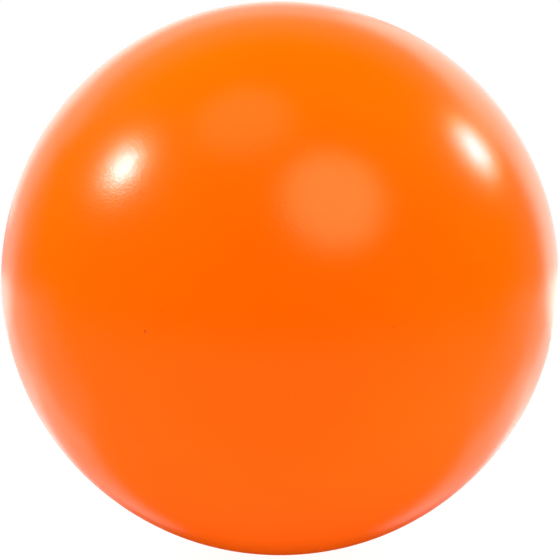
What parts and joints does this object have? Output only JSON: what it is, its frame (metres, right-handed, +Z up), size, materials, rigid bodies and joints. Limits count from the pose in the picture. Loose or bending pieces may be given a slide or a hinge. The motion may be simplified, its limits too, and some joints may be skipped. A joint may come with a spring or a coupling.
{
  "type": "stress ball",
  "caption": "Round moulded foam squeeze ball with a satin orange coat, a dense skin, an open-celled core and a flush gate mark underneath.",
  "frame": {"origin": "lowest point of the ball, at the middle of the gate mark, where it meets a palm or a desk", "axes": "+Z up through the gate, the centre and the top; the parting plane of the mould is level, at half the height; X and Y are free, because the ball is round"},
  "size_m": [0.063, 0.063, 0.063],
  "materials": {
    "orange_coat": "sprayed elastic coat, satin orange with a fine orange peel",
    "foam_skin": "dense self-skin of polyurethane foam, matt cream",
    "open_foam": "open-celled polyurethane foam, matt pale cream",
    "gate_foam": "dense foam, cut and sanded, tinted by the coat"
  },
  "bodies": {
    "lower_half": {"lower_coat": "orange_coat", "lower_skin": "foam_skin", "foam_core": "open_foam", "gate_plug": "gate_foam"},
    "upper_half": {"upper_coat": "orange_coat", "upper_skin": "foam_skin"}
  },
  "joints": [
    {"name": "squeeze", "type": "slide", "parent": "lower_half", "child": "upper_half", "axis": [0, 0, -1], "range_m": [0, 0.03], "stiffness_N_per_m": 2000, "deforming": ["lower_coat", "lower_skin", "foam_core", "upper_coat", "upper_skin"]}
  ]
}
